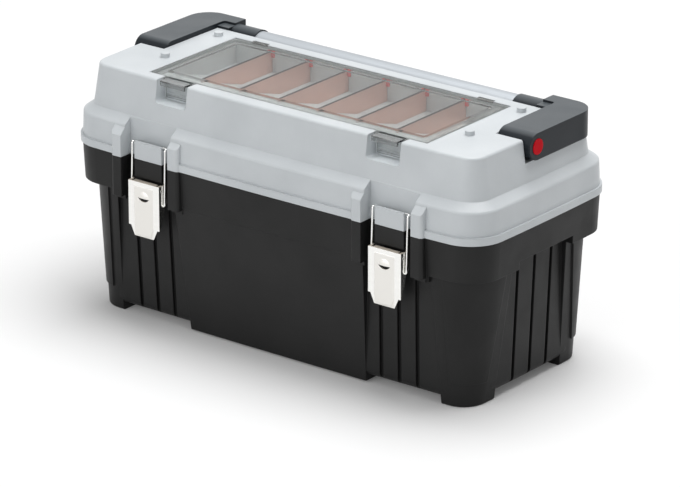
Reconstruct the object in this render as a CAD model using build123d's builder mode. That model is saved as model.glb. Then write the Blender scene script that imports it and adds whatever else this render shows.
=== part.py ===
"""Tool box: drafted tub, domed lid with an organiser, folding handle and two draw latches.

Millimetres, +Z up, +X to the right along the length, the latches at the front (-Y).
The origin is on the floor under the middle of the box.
"""

import os
from build123d import *

os.makedirs("parts", exist_ok=True)

# Rim outline seen from above, shared by the tub and the lid
lip_half_length = 275.0
lip_half_depth = 125.5
lip_corner = 40.0
front_crown = 5.5
side_crown = 2.0
wall = 2.8

# Heights of the tub
body_bottom = 8.0
floor_thickness = 3.0
panel_bottom = 2.0
bulge_bottom = 26.0
band_bottom = 145.0
front_band_bottom = 138.0
side_band_bottom = 154.0
parting = 187.0
parting_gap = 0.3

# Outline of the tub's columns below the band, at the floor and at the band
foot_half_length = 249.5
foot_half_depth = 102.5
foot_corner = 27.0
foot_crown = 2.0
shoulder_half_length = 263.0
shoulder_half_depth = 117.5
shoulder_corner = 55.0

# Outline of the slatted walls between the columns, which stand more upright
slat_half_length = 250.6
slat_half_depth = 104.0
slat_corner = 40.0
slat_draft = 6.0
band_inset_top = 2.0
band_inset_bottom = 4.0

# Columns, panels, ribs and grooves of the tub
column_foot_x = 213.5
column_foot_y = 58.0
column_top_x = 208.5
column_top_y = 47.0
bulge_foot_x = 226.0
bulge_foot_y = 78.0
bulge_top_x = 222.0
bulge_top_y = 58.0
bulge_proud = 1.8
panel_foot_half = 117.5
panel_top_half = 125.0
panel_foot_proud = 0.8
panel_top_proud = 3.0
groove_depth = 3.5
groove_width = 5.0
groove_count = 3
groove_lean = 0.9
front_groove_x = 161.5
front_groove_pitch = 23.2
side_groove_pitch = 29.3
bottom_round = 9.0
foot_round = 2.5

# Lid
lip_height = 8.0
lid_wall_inset = 2.0
ledge_outer = 221.0
ledge_outer_inset = 3.5
ledge_inner = 229.0
ledge_inner_inset = 14.5
lid_top = 274.0
dome_top_inset = 21.0
dome_round = 3.0
ledge_round = 3.0
peg_x = 201.5
peg_front = -40.0
peg_rear = 50.0
peg_radius = 5.0
peg_height = 4.6

# Latches
latch_x = 160.0
pillar_inner = 32.0
pillar_width = 14.0
pillar_face = 127.0
pillar_round = 4.0
pillar_bottom = 142.5
pillar_shoulder = 211.0
pocket_back = 110.0
tongue_half = 18.5
tongue_face = 120.4
tongue_top = 206.5
tongue_lip = 2.5
tub_tongue_bottom = 167.0
channel_floor = 201.4
wire = 2.4
sheet = 1.2
lever_half = 21.0
lever_face = 128.2
lever_top = 165.0
lever_shoulder = 115.0
lever_tip = 104.0
lever_tip_half = 13.0
lever_neck_half = 18.0
lever_pivot_y = -124.0
lever_pivot_z = 159.5
bail_pivot_y = -121.0
bail_pivot_z = 142.0
lever_pin_radius = 1.5
ear_radius = 2.7
ear_inner = 16.2
emboss = 0.5
emboss_bevel = 45.0
emboss_drop = 4.8
emboss_taper = 3.6
louvre_half = 7.5
louvre_height = 148.0
louvre_drop = 4.0
hood = 1.0
hood_sheet = 0.6
bail_gap = 0.4
bail_top = 205.4
bail_lean = 2.4
bail_bend = 1.9
bail_end = 0.6
crossbar_y = -113.5
crossbar_z = 203.6
base_bottom = 141.5
base_top = 156.0
flange_rear = 119.0
flange_bottom = 116.0
top_flange_rear = 122.0
ear_slot = 0.4
pin_end = 0.2
rivet_radius = 2.0
rivet_head = 3.6
rivet_head_height = 1.2
rivet_clear = 0.4
rivet_bore = 11.2
rivet_x = 8.0
rivet_z = 147.5
run_gap = 0.06

# Hinge at the rear
hinge_x = 150.0
knuckle_radius = 5.0
knuckle_length = 16.0
knuckle_gap = 0.4
hinge_pin_radius = 2.0
hinge_web = 11.0
hinge_clear = 0.6

# Handle
pivot_y = -5.5
pivot_z = 264.5
arm_radius = 14.5
arm_inner = 220.5
arm_outer = 262.0
arm_rear = 101.0
arm_corner = 26.0
arm_step = 205.0
arm_layer = 2.6
arm_band = 83.0
arm_inner_round = 3.5
handle_gap = 0.6
bar_end = 172.0
bar_insert = 30.0
bar_front = 72.5
bar_rear = 99.5
bar_top = 275.4
bar_bottom = 256.0
bar_side = 268.0
bar_round = 3.0
socket_gap = 0.1
bar_wall = 2.0
collar = 1.4
pivot_pin_radius = 5.0
pivot_head_radius = 8.5
pivot_head_height = 2.2
pivot_head_proud = 0.65
pivot_grip = 14.0

# Organiser in the lid
cover_half = 183.0
cover_front = -88.0
cover_rear = 56.0
cover_sheet = 2.4
cover_top = 273.8
cover_border = 11.0
cover_raise = 1.8
cover_bevel = 45.0
cover_corner = 6.0
cover_gap = 0.4
cover_swing_gap = 0.9
rebate_ledge = 5.0
well_floor = 247.0
well_shelf = 267.5
slope_top_y = -68.0
slope_bottom_y = -1.0
divider_pitch = 51.6
divider_thickness = 1.6
divider_slot = 2.0
divider_gap = 0.15
divider_top = 270.6
divider_count = 6
cover_hinge_x = 150.0
cover_axis_y = 58.5
cover_axis_z = 272.4
cover_knuckle_radius = 2.3
cover_knuckle_length = 20.0
cover_pin_radius = 1.25
cover_pin_grip = 5.0

# Clips on the front edge of the cover
clip_x = 140.0
clip_pocket_half = 21.0
clip_pocket_floor = 249.0
clip_pocket_back = 89.5
clip_pocket_round = 3.5
clip_half = 16.5
clip_lug = 3.0
clip_axis_y = -92.0
clip_axis_z = 271.6
clip_pin_radius = 1.2
clip_barrel = 2.1
clip_sheet = 1.8
clip_reach = 103.0
clip_grip = 5.4
clip_leg_bottom = 252.6
clip_hook = 1.4
catch_depth = 1.6
catch_height = 2.0
catch_bottom = 255.2

# How far a cut runs past a face, and how close an edge lies to a stated height
cut_over = 1.0
height_match = 0.1

# Worked out from the values above
band_top = parting - parting_gap
floor_top = body_bottom + floor_thickness
lever_front = lever_face + emboss
hood_radius = (louvre_half**2 + hood**2) / (2 * hood)
hinge_y = lever_front + hood - knuckle_radius
hinge_pad_half = 2 * knuckle_length
hinge_pad_front = hinge_y - 2 * knuckle_radius - wall
recess_floor = pivot_z - arm_radius - handle_gap
recess_front = pivot_y - arm_radius - handle_gap
recess_side = arm_inner - handle_gap
recess_rear = bar_front - collar - handle_gap
arm_top = pivot_z + arm_radius
well_half = cover_half - rebate_ledge
well_front = cover_front + rebate_ledge
well_rear = cover_rear - rebate_ledge
rebate_floor = cover_top - cover_sheet
reach = 4 * lip_half_length


def crowned_outline(half_length, half_depth, corner, crown):
    """Rounded rectangle whose four sides bow outwards, the front and rear by crown."""
    side_x = half_length - side_crown
    front_y = half_depth - crown
    with BuildSketch() as outline:
        with BuildLine():
            ThreePointArc((-side_x, -front_y), (0, -half_depth), (side_x, -front_y))
            ThreePointArc((side_x, -front_y), (half_length, 0), (side_x, front_y))
            ThreePointArc((side_x, front_y), (0, half_depth), (-side_x, front_y))
            ThreePointArc((-side_x, front_y), (-half_length, 0), (-side_x, -front_y))
        make_face()
        fillet(outline.vertices(), corner)
    return outline.sketch


def drafted_block(levels):
    """Straight-sided block through outlines, each (height, half length, half depth, corner, crown)."""
    with BuildPart() as block:
        for height, half_length, half_depth, corner, crown in levels:
            with BuildSketch(Plane.XY.offset(height)):
                add(crowned_outline(half_length, half_depth, corner, crown))
        loft(ruled=True)
    return block.part


def tub_level(height, inset):
    """Outline of the tub's columns at a height, moved inwards by inset."""
    share = height / band_bottom
    half_length = foot_half_length + share * (shoulder_half_length - foot_half_length)
    half_depth = foot_half_depth + share * (shoulder_half_depth - foot_half_depth)
    corner = foot_corner + share * (shoulder_corner - foot_corner)
    crown = foot_crown + share * (front_crown - foot_crown)
    return (height, half_length - inset, half_depth - inset, corner - inset, crown)


def slat_level(height, inset):
    """Outline of the slatted walls at a height, moved inwards by inset."""
    grow = slat_draft * height / band_bottom - inset
    return (height, slat_half_length + grow, slat_half_depth + grow, slat_corner + grow, foot_crown)


def rim_level(height, inset):
    """Outline of the lip at a height, moved inwards by inset."""
    return (height, lip_half_length - inset, lip_half_depth - inset, lip_corner - inset, front_crown)


def band_level(height, inset):
    """Outline of the tub's drafted band at a height, moved inwards by inset."""
    share = (height - band_bottom) / (band_top - band_bottom)
    draft = band_inset_bottom + share * (band_inset_top - band_inset_bottom)
    return rim_level(height, draft + inset)


def leaning_band(plane, foot_half, top_half, mode):
    """Wide band through the box, from the floor to the band, whose two edges lean."""
    with BuildSketch(plane.offset(-reach)) as face:
        with BuildLine():
            Polyline(
                (-foot_half, 0),
                (foot_half, 0),
                (top_half, band_bottom),
                (-top_half, band_bottom),
                close=True,
            )
        make_face()
    extrude(face.sketch, amount=2 * reach, mode=mode)


def keep_corners(foot_x, foot_y, top_x, top_y):
    """Cut a cross with leaning edges through a block, so that only its four corners stay."""
    leaning_band(Plane.XZ, foot_x, top_x, Mode.SUBTRACT)
    leaning_band(Plane.YZ, foot_y, top_y, Mode.SUBTRACT)


def span_box(x_span, y_span, z_span, mode=Mode.ADD):
    """Box given by its lowest and highest X, Y and Z."""
    with Locations((x_span[0], y_span[0], z_span[0])):
        Box(
            x_span[1] - x_span[0],
            y_span[1] - y_span[0],
            z_span[1] - z_span[0],
            align=(Align.MIN, Align.MIN, Align.MIN),
            mode=mode,
        )


def rod(x_start, x_end, y, z, radius, mode=Mode.ADD):
    """Round rod along X between two places."""
    with BuildSketch(Plane.YZ.offset(x_start)) as section:
        with Locations((y, z)):
            Circle(radius)
    extrude(section.sketch, amount=x_end - x_start, mode=mode)


def pillar_pair(low, high):
    """Two upright pillars either side of a latch, rounded along their outer front edges."""
    middle = pillar_inner + pillar_width / 2
    with BuildPart() as pair:
        with BuildSketch(Plane.XY.offset(low)) as plan:
            with Locations((-middle, -pillar_face), (middle, -pillar_face)):
                Rectangle(pillar_width, pillar_face - pocket_back, align=(Align.CENTER, Align.MIN))
            front_corners = plan.vertices().group_by(Axis.Y)[0].sort_by(Axis.X)
            fillet([front_corners[0], front_corners[-1]], pillar_round)
        extrude(amount=high - low)
    return pair.part


def knuckle(x_start, x_end, web_top):
    """Hinge barrel along X with a web that runs up or down the rear wall."""
    root_y = lip_half_depth - front_crown
    with BuildPart() as barrel:
        rod(x_start, x_end, hinge_y, parting, knuckle_radius)
        with BuildSketch(Plane.YZ.offset(x_start)):
            with BuildLine():
                Polyline(
                    (hinge_y + knuckle_radius, parting),
                    (root_y, web_top),
                    (root_y - wall, web_top),
                    (root_y - wall, parting),
                    close=True,
                )
            make_face()
        extrude(amount=x_end - x_start)
    return barrel.part


# Tub: walls with grooves, then columns, panels and band, then the hollow
with BuildPart() as tub_grooves:
    for side in (-1, 1):
        with Locations(Location((side * front_groove_x, 0, 0), (0, side * groove_lean, 0))):
            with GridLocations(front_groove_pitch, 0, groove_count, 1):
                Box(groove_width, reach, 2 * front_band_bottom)
    with GridLocations(0, side_groove_pitch, 1, groove_count):
        Box(reach, groove_width, 2 * side_band_bottom)
    add(
        drafted_block([slat_level(-body_bottom, groove_depth), slat_level(2 * band_bottom, groove_depth)]),
        mode=Mode.SUBTRACT,
    )

with BuildPart() as tub_columns:
    add(drafted_block([tub_level(0, 0), tub_level(band_bottom, 0)]))
    fillet(tub_columns.edges().group_by(Axis.Z)[0], foot_round)
    keep_corners(column_foot_x, column_foot_y, column_top_x, column_top_y)

with BuildPart() as tub_bulges:
    add(drafted_block([tub_level(bulge_bottom, -bulge_proud), tub_level(band_bottom, -bulge_proud)]))
    keep_corners(bulge_foot_x, bulge_foot_y, bulge_top_x, bulge_top_y)

with BuildPart() as tub_panels:
    add(drafted_block([tub_level(panel_bottom, -panel_foot_proud), tub_level(band_bottom, -panel_top_proud)]))
    leaning_band(Plane.XZ, panel_foot_half, panel_top_half, Mode.INTERSECT)
    span_box(
        (-reach, reach),
        (-slat_half_depth + 2 * bottom_round, slat_half_depth - 2 * bottom_round),
        (-reach, body_bottom),
        mode=Mode.SUBTRACT,
    )

with BuildPart() as tub_latch_plates:
    add(drafted_block([band_level(front_band_bottom, 0), band_level(band_bottom, 0)]))
    span_box((-column_top_x, column_top_x), (-reach, -pocket_back), (-reach, reach), mode=Mode.INTERSECT)
    span_box((-panel_top_half, panel_top_half), (-reach, reach), (-reach, reach), mode=Mode.SUBTRACT)

with BuildPart() as tub_side_notches:
    span_box((-reach, reach), (-column_top_y, column_top_y), (band_bottom, side_band_bottom))
    add(
        drafted_block([slat_level(body_bottom, 0), slat_level(side_band_bottom, 0)]),
        mode=Mode.SUBTRACT,
    )

with BuildPart() as tub_panel_hollow:
    add(
        drafted_block(
            [tub_level(floor_top, wall - panel_foot_proud), tub_level(band_bottom, wall - panel_top_proud)]
        )
    )
    leaning_band(Plane.XZ, panel_foot_half - wall, panel_top_half - wall, Mode.INTERSECT)

with BuildPart() as tub_column_hollow:
    add(drafted_block([tub_level(floor_top, wall), tub_level(band_bottom, wall)]))
    keep_corners(column_foot_x + wall, column_foot_y + wall, column_top_x + wall, column_top_y + wall)

with BuildPart() as tub:
    add(drafted_block([slat_level(body_bottom, 0), slat_level(side_band_bottom, 0)]))
    fillet(tub.edges().group_by(Axis.Z)[0], bottom_round)
    add(tub_columns.part)
    add(tub_bulges.part)
    add(tub_panels.part)
    add(drafted_block([band_level(band_bottom, 0), band_level(band_top, 0)]))
    add(tub_latch_plates.part)
    add(tub_side_notches.part, mode=Mode.SUBTRACT)
    add(tub_grooves.part, mode=Mode.SUBTRACT)
    # Hollow
    add(
        drafted_block(
            [slat_level(floor_top, groove_depth + wall), slat_level(side_band_bottom + wall, groove_depth + wall)]
        ),
        mode=Mode.SUBTRACT,
    )
    add(tub_panel_hollow.part, mode=Mode.SUBTRACT)
    add(tub_column_hollow.part, mode=Mode.SUBTRACT)
    add(
        drafted_block([band_level(side_band_bottom + wall, wall), band_level(parting + cut_over, wall)]),
        mode=Mode.SUBTRACT,
    )
    # Pillars, backing and tongue of each latch
    for side in (-1, 1):
        centre = side * latch_x
        outer = pillar_inner + pillar_width
        span_box(
            (centre - outer, centre + outer),
            (-lip_half_depth + front_crown, -pocket_back + wall),
            (front_band_bottom, band_top),
        )
        with Locations((centre, 0, 0)):
            add(pillar_pair(pillar_bottom, band_top))
        span_box(
            (centre - pillar_inner, centre + pillar_inner),
            (-reach, -pocket_back),
            (front_band_bottom, parting + cut_over),
            mode=Mode.SUBTRACT,
        )
        span_box(
            (centre - tongue_half, centre + tongue_half),
            (-tongue_face, -pocket_back),
            (tub_tongue_bottom, band_top),
        )
        with Locations((centre - rivet_x, -pocket_back, rivet_z), (centre + rivet_x, -pocket_back, rivet_z)):
            Cylinder(rivet_radius, rivet_bore, rotation=(90, 0, 0), mode=Mode.SUBTRACT)
        for place in (centre - rivet_x, centre + rivet_x):
            with BuildSketch(Plane.XZ.offset(pocket_back - wall)):
                with Locations((place, rivet_z)):
                    Circle(rivet_head + rivet_clear)
            extrude(amount=-2 * wall, mode=Mode.SUBTRACT)
    # Two outer knuckles for each hinge, with the rim thickened behind them
    for side in (-1, 1):
        centre = side * hinge_x
        half = knuckle_length / 2
        span_box(
            (centre - hinge_pad_half, centre + hinge_pad_half),
            (hinge_pad_front, lip_half_depth - front_crown),
            (parting - hinge_web, band_top),
        )
        rod(
            centre - half,
            centre + half,
            hinge_y,
            parting,
            knuckle_radius + hinge_clear,
            mode=Mode.SUBTRACT,
        )
        add(knuckle(centre - half - knuckle_length, centre - half, parting - hinge_web))
        add(knuckle(centre + half, centre + half + knuckle_length, parting - hinge_web))
        rod(
            centre - half - knuckle_length,
            centre + half + knuckle_length,
            hinge_y,
            parting,
            hinge_pin_radius,
            mode=Mode.SUBTRACT,
        )

# Lid: domed outer form, hollow, then the recesses that are sunk into it
with BuildPart() as lid_outer:
    add(
        drafted_block(
            [
                rim_level(parting, lid_wall_inset),
                rim_level(ledge_outer, ledge_outer_inset),
                rim_level(ledge_inner, ledge_inner_inset),
                rim_level(lid_top, dome_top_inset),
            ]
        )
    )
    fillet(lid_outer.edges().group_by(Axis.Z)[-1], dome_round)
    lowest = ledge_outer - height_match
    highest = ledge_outer + height_match
    fillet(lid_outer.edges().filter_by_position(Axis.Z, lowest, highest), ledge_round)
    with BuildSketch(Plane.XY.offset(parting)):
        add(crowned_outline(lip_half_length, lip_half_depth, lip_corner, front_crown))
    extrude(amount=lip_height)

with BuildPart() as lid_hollow:
    add(
        drafted_block(
            [
                rim_level(parting - cut_over, lid_wall_inset + wall),
                rim_level(ledge_outer - wall / 2, ledge_outer_inset + wall),
                rim_level(ledge_inner - wall, ledge_inner_inset + wall),
                rim_level(lid_top - wall, dome_top_inset + wall),
            ]
        )
    )

with BuildPart() as organiser_well:
    with BuildSketch(Plane.YZ):
        with BuildLine():
            Polyline(
                (well_front, lid_top + cut_over),
                (well_front, well_shelf),
                (slope_top_y, well_shelf),
                (slope_bottom_y, well_floor),
                (well_rear, well_floor),
                (well_rear, lid_top + cut_over),
                close=True,
            )
        make_face()
    extrude(amount=well_half, both=True)

with BuildPart() as organiser_walls:
    with BuildSketch(Plane.YZ):
        with BuildLine():
            Polyline(
                (cover_front - wall, lid_top),
                (cover_front - wall, well_shelf - wall),
                (slope_top_y - wall, well_shelf - wall),
                (slope_bottom_y - wall, well_floor - wall),
                (cover_rear + wall, well_floor - wall),
                (cover_rear + wall, lid_top),
                close=True,
            )
        make_face()
    extrude(amount=cover_half + wall, both=True)

with BuildPart() as lid_blocks:
    add(organiser_walls.part)
    floor_span = (recess_floor - wall, lid_top)
    for side in (-1, 1):
        with Locations((side * (recess_side - wall), recess_front - wall, floor_span[0])):
            Box(
                lip_half_length,
                reach,
                floor_span[1] - floor_span[0],
                align=(Align.MIN if side > 0 else Align.MAX, Align.MIN, Align.MIN),
            )
        rod(
            side * recess_side,
            side * (recess_side - pivot_grip),
            pivot_y,
            pivot_z,
            pivot_pin_radius + wall,
        )
        span_box(
            (side * clip_x - clip_pocket_half - wall, side * clip_x + clip_pocket_half + wall),
            (-lip_half_depth, -clip_pocket_back + wall),
            (clip_pocket_floor - wall, lid_top),
        )
        span_box(
            (side * latch_x - pillar_inner - pillar_width, side * latch_x + pillar_inner + pillar_width),
            (-lip_half_depth, -pocket_back + wall),
            (parting, ledge_inner + wall),
        )
        span_box(
            (side * hinge_x - hinge_pad_half, side * hinge_x + hinge_pad_half),
            (hinge_pad_front, lip_half_depth),
            (parting, parting + hinge_web),
        )
    span_box((-lip_half_length, lip_half_length), (recess_rear - wall, reach), floor_span)
    add(lid_outer.part, mode=Mode.INTERSECT)

with BuildPart() as lid_pillars:
    add(pillar_pair(parting, ledge_outer + ledge_round))
    chamfer_run = ledge_outer - pillar_shoulder
    with BuildSketch(Plane.YZ):
        with BuildLine():
            Polyline(
                (-pillar_face - chamfer_run, pillar_shoulder - chamfer_run),
                (-pillar_face + 2 * chamfer_run, pillar_shoulder + 2 * chamfer_run),
                (-pillar_face - chamfer_run, pillar_shoulder + 2 * chamfer_run),
                close=True,
            )
        make_face()
    extrude(amount=pillar_inner + pillar_width + cut_over, both=True, mode=Mode.SUBTRACT)

with BuildPart() as lid_shell:
    add(lid_outer.part)
    add(lid_hollow.part, mode=Mode.SUBTRACT)
    add(lid_blocks.part)
    # Latch pockets between pillars, each with a tongue that holds the wire
    for side in (-1, 1):
        centre = side * latch_x
        with Locations((centre, 0, 0)):
            add(lid_pillars.part)
        span_box(
            (centre - pillar_inner, centre + pillar_inner),
            (-reach, -pocket_back),
            (parting - cut_over, ledge_inner + wall),
            mode=Mode.SUBTRACT,
        )
        span_box(
            (centre - tongue_half, centre + tongue_half),
            (-tongue_face, -pocket_back),
            (parting, tongue_top),
        )
        span_box(
            (centre - tongue_half, centre + tongue_half),
            (-tongue_face + tongue_lip, -pocket_back),
            (channel_floor, tongue_top),
            mode=Mode.SUBTRACT,
        )
    # Organiser well with its rebate, slots for the dividers and pockets for the clips
    add(organiser_well.part, mode=Mode.SUBTRACT)
    span_box(
        (-cover_half - cover_gap, cover_half + cover_gap),
        (cover_front - cover_gap, cover_rear + cover_swing_gap),
        (rebate_floor, lid_top + cut_over),
        mode=Mode.SUBTRACT,
    )
    with Locations((0, well_rear, well_floor)):
        with GridLocations(divider_pitch, 0, divider_count, 1):
            Box(
                divider_thickness + 2 * divider_gap,
                divider_slot,
                lid_top - well_floor,
                align=(Align.CENTER, Align.MIN, Align.MIN),
                mode=Mode.SUBTRACT,
            )
    for side in (-1, 1):
        centre = side * clip_x
        with BuildSketch(Plane.XZ.offset(clip_pocket_back)) as mouth:
            with Locations((centre, clip_pocket_floor)):
                Rectangle(
                    2 * clip_pocket_half,
                    lid_top + cut_over - clip_pocket_floor,
                    align=(Align.CENTER, Align.MIN),
                )
            fillet(mouth.vertices().group_by(Axis.Y)[0], clip_pocket_round)
        extrude(amount=lip_half_depth, mode=Mode.SUBTRACT)
        span_box(
            (centre - clip_pocket_half, centre + clip_pocket_half),
            (-clip_pocket_back, cover_front),
            (rebate_floor, lid_top + cut_over),
            mode=Mode.SUBTRACT,
        )
        span_box(
            (centre - clip_half, centre + clip_half),
            (-clip_pocket_back - catch_depth, -clip_pocket_back),
            (catch_bottom, catch_bottom + catch_height),
        )
    # Recess that takes the folded handle, open at the sides and the rear
    span_box((-reach, reach), (recess_rear, reach), (recess_floor, lid_top + cut_over), mode=Mode.SUBTRACT)
    for side in (-1, 1):
        with Locations((side * recess_side, recess_front, recess_floor)):
            Box(
                reach,
                reach,
                lid_top,
                align=(Align.MIN if side > 0 else Align.MAX, Align.MIN, Align.MIN),
                mode=Mode.SUBTRACT,
            )
        rod(
            side * recess_side,
            side * (recess_side - pivot_grip + wall),
            pivot_y,
            pivot_z,
            pivot_pin_radius,
            mode=Mode.SUBTRACT,
        )
    # Seats for the cover's knuckles and their pins
    for side in (-1, 1):
        centre = side * cover_hinge_x
        half = cover_knuckle_length / 2
        span_box(
            (centre - half - knuckle_gap, centre + half + knuckle_gap),
            (cover_rear, cover_axis_y + cover_knuckle_radius + cover_gap),
            (cover_axis_z - cover_knuckle_radius - cover_gap, lid_top + cut_over),
            mode=Mode.SUBTRACT,
        )
        rod(
            centre - half - cover_pin_grip,
            centre + half + cover_pin_grip,
            cover_axis_y,
            cover_axis_z,
            cover_pin_radius,
            mode=Mode.SUBTRACT,
        )
    # Stacking pegs
    with Locations(
        (-peg_x, peg_front, lid_top),
        (peg_x, peg_front, lid_top),
        (-peg_x, peg_rear, lid_top),
        (peg_x, peg_rear, lid_top),
    ):
        Cylinder(peg_radius, peg_height, align=(Align.CENTER, Align.CENTER, Align.MIN))
    # Middle knuckle of each hinge, and room for the tub's two
    for side in (-1, 1):
        centre = side * hinge_x
        half = knuckle_length / 2
        for start, end in ((-half - knuckle_length, -half), (half, half + knuckle_length)):
            rod(
                centre + start - knuckle_gap,
                centre + end + knuckle_gap,
                hinge_y,
                parting,
                knuckle_radius + hinge_clear,
                mode=Mode.SUBTRACT,
            )
        add(knuckle(centre - half + knuckle_gap, centre + half - knuckle_gap, parting + hinge_web))
        rod(
            centre - half,
            centre + half,
            hinge_y,
            parting,
            hinge_pin_radius + run_gap,
            mode=Mode.SUBTRACT,
        )

# Draw latches: base, rivets, lever and its pin, and the wire bail
with BuildPart() as base_form:
    plate_half = ear_inner + sheet
    plate_face = pocket_back + sheet
    span_box((-plate_half, plate_half), (-plate_face, -pocket_back), (base_bottom, base_top))
    with BuildSketch(Plane.YZ.offset(ear_inner)):
        with Locations((lever_pivot_y, lever_pivot_z)):
            Circle(ear_radius)
        with Locations((-plate_face, base_bottom)):
            Rectangle(sheet, base_top - base_bottom, align=(Align.MIN, Align.MIN))
        make_hull()
    extrude(amount=sheet)
    mirror(about=Plane.YZ)
    rod(-plate_half, plate_half, lever_pivot_y, lever_pivot_z, lever_pin_radius, mode=Mode.SUBTRACT)
    with Locations((-rivet_x, -pocket_back, rivet_z), (rivet_x, -pocket_back, rivet_z)):
        Cylinder(rivet_radius, rivet_bore, rotation=(90, 0, 0), mode=Mode.SUBTRACT)

with BuildPart() as latch_rivets:
    for side in (-1, 1):
        for place in (side * latch_x - rivet_x, side * latch_x + rivet_x):
            with BuildSketch(Plane.XZ.offset(pocket_back + sheet)):
                with Locations((place, rivet_z)):
                    Circle(rivet_head)
            extrude(amount=rivet_head_height)
            with BuildSketch(Plane.XZ.offset(pocket_back - wall)):
                with Locations((place, rivet_z)):
                    Circle(rivet_radius)
            extrude(amount=wall + sheet)
            with BuildSketch(Plane.XZ.offset(pocket_back - wall)):
                with Locations((place, rivet_z)):
                    Circle(rivet_head)
            extrude(amount=-rivet_head_height)

with BuildPart() as louvre_hood:
    with Locations((0, hood_radius - lever_front - hood, louvre_height)):
        Sphere(hood_radius)
    span_box(
        (-louvre_half, louvre_half),
        (-lever_front - hood, -lever_face),
        (louvre_height, louvre_height + louvre_half),
        mode=Mode.INTERSECT,
    )

with BuildPart() as louvre_hollow:
    with Locations((0, hood_radius - lever_front - hood, louvre_height)):
        Sphere(hood_radius - hood_sheet)
    span_box(
        (-louvre_half, louvre_half),
        (-lever_front - hood, sheet - lever_face),
        (louvre_height, louvre_height + louvre_half),
        mode=Mode.INTERSECT,
    )

with BuildPart() as lever_form:
    inner_face = lever_face - sheet
    with BuildSketch(Plane.XZ.offset(inner_face)):
        with BuildLine():
            Polyline(
                (-lever_half, lever_top),
                (-lever_half, lever_shoulder),
                (-lever_neck_half, lever_shoulder),
                (-lever_tip_half, lever_tip),
                (lever_tip_half, lever_tip),
                (lever_neck_half, lever_shoulder),
                (lever_half, lever_shoulder),
                (lever_half, lever_top),
                close=True,
            )
        make_face()
    extrude(amount=sheet)
    # Raised middle of the sheet with bevelled edges, narrowing to the finger tab
    with BuildSketch(Plane.XZ.offset(lever_face)):
        with BuildLine():
            Polyline(
                (-lever_tip_half, lever_top - emboss_drop),
                (-lever_tip_half, lever_shoulder),
                (-lever_tip_half + emboss_taper, lever_tip + sheet),
                (lever_tip_half - emboss_taper, lever_tip + sheet),
                (lever_tip_half, lever_shoulder),
                (lever_tip_half, lever_top - emboss_drop),
                close=True,
            )
        make_face()
    extrude(amount=emboss, taper=emboss_bevel)
    # Half-moon louvre in the raised middle, under a domed hood
    add(louvre_hood.part)
    add(louvre_hollow.part, mode=Mode.SUBTRACT)
    with BuildSketch(Plane.XZ.offset(inner_face)):
        with BuildLine():
            Line((-louvre_half, louvre_height), (louvre_half, louvre_height))
            ThreePointArc(
                (-louvre_half, louvre_height),
                (0, louvre_height - louvre_drop),
                (louvre_half, louvre_height),
            )
        make_face()
    extrude(amount=sheet + emboss, mode=Mode.SUBTRACT)
    # Side flanges that carry the pin and the wire
    with BuildSketch(Plane.YZ.offset(lever_half - sheet)):
        with BuildLine():
            Polyline(
                (-inner_face, lever_top),
                (-flange_rear, lever_top),
                (-flange_rear, bail_pivot_z - wire),
                (-inner_face + sheet, flange_bottom),
                (-inner_face, flange_bottom),
                close=True,
            )
        make_face()
    extrude(amount=sheet)
    mirror(about=Plane.YZ)
    # Top flange, slotted where the ears of the base pass
    span_box(
        (-lever_half, lever_half),
        (-inner_face, -top_flange_rear),
        (lever_top - sheet, lever_top),
    )
    for side in (-1, 1):
        with Locations((side * (ear_inner + sheet / 2), -inner_face, lever_top)):
            Box(
                sheet + 2 * ear_slot,
                inner_face - top_flange_rear,
                2 * sheet,
                align=(Align.CENTER, Align.MIN, Align.CENTER),
                mode=Mode.SUBTRACT,
            )
    pin_bore = lever_pin_radius + run_gap
    rod(-lever_half, lever_half, lever_pivot_y, lever_pivot_z, pin_bore, mode=Mode.SUBTRACT)
    rod(-lever_half, lever_half, bail_pivot_y, bail_pivot_z, wire / 2 + run_gap, mode=Mode.SUBTRACT)

with BuildPart() as lever_pin_form:
    rod(-lever_half - pin_end, lever_half + pin_end, lever_pivot_y, lever_pivot_z, lever_pin_radius)

with BuildPart() as bail_form:
    leg_x = lever_half + bail_gap + wire / 2
    end_x = lever_half - sheet - bail_end
    with BuildLine() as bail_route:
        FilletPolyline(
            (-end_x, bail_pivot_y, bail_pivot_z),
            (-leg_x, bail_pivot_y, bail_pivot_z),
            (-leg_x, bail_pivot_y + bail_lean, bail_top),
            (-leg_x, crossbar_y, crossbar_z),
            (leg_x, crossbar_y, crossbar_z),
            (leg_x, bail_pivot_y + bail_lean, bail_top),
            (leg_x, bail_pivot_y, bail_pivot_z),
            (end_x, bail_pivot_y, bail_pivot_z),
            radius=bail_bend,
        )
    with BuildSketch(Plane.YZ.offset(-end_x)):
        with Locations((bail_pivot_y, bail_pivot_z)):
            Circle(wire / 2)
    sweep(path=bail_route.wires()[0])

# Lid hinge pins
with BuildPart() as hinge_pin_form:
    hinge_half = 3 * knuckle_length / 2
    rod(-hinge_half, hinge_half, hinge_y, parting, hinge_pin_radius)

# Handle: hollow bar, two arms and the pivot pins
with BuildSketch(Plane.YZ) as bar_outline:
    with BuildLine():
        Polyline(
            (bar_front, bar_side),
            (bar_front, bar_bottom),
            (bar_rear, bar_bottom),
            (bar_rear, bar_side),
        )
        ThreePointArc(
            (bar_front, bar_side),
            ((bar_front + bar_rear) / 2, bar_top),
            (bar_rear, bar_side),
        )
    make_face()
    fillet(bar_outline.vertices(), bar_round)

with BuildPart() as handle_bar:
    bar_half = bar_end + bar_insert
    with BuildSketch(Plane.YZ.offset(-bar_half)):
        add(bar_outline.sketch_local)
    extrude(amount=2 * bar_half)
    with BuildSketch(Plane.YZ.offset(-bar_half)):
        add(bar_outline.sketch_local)
        offset(amount=-bar_wall, mode=Mode.REPLACE)
    extrude(amount=2 * bar_half, mode=Mode.SUBTRACT)

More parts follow.
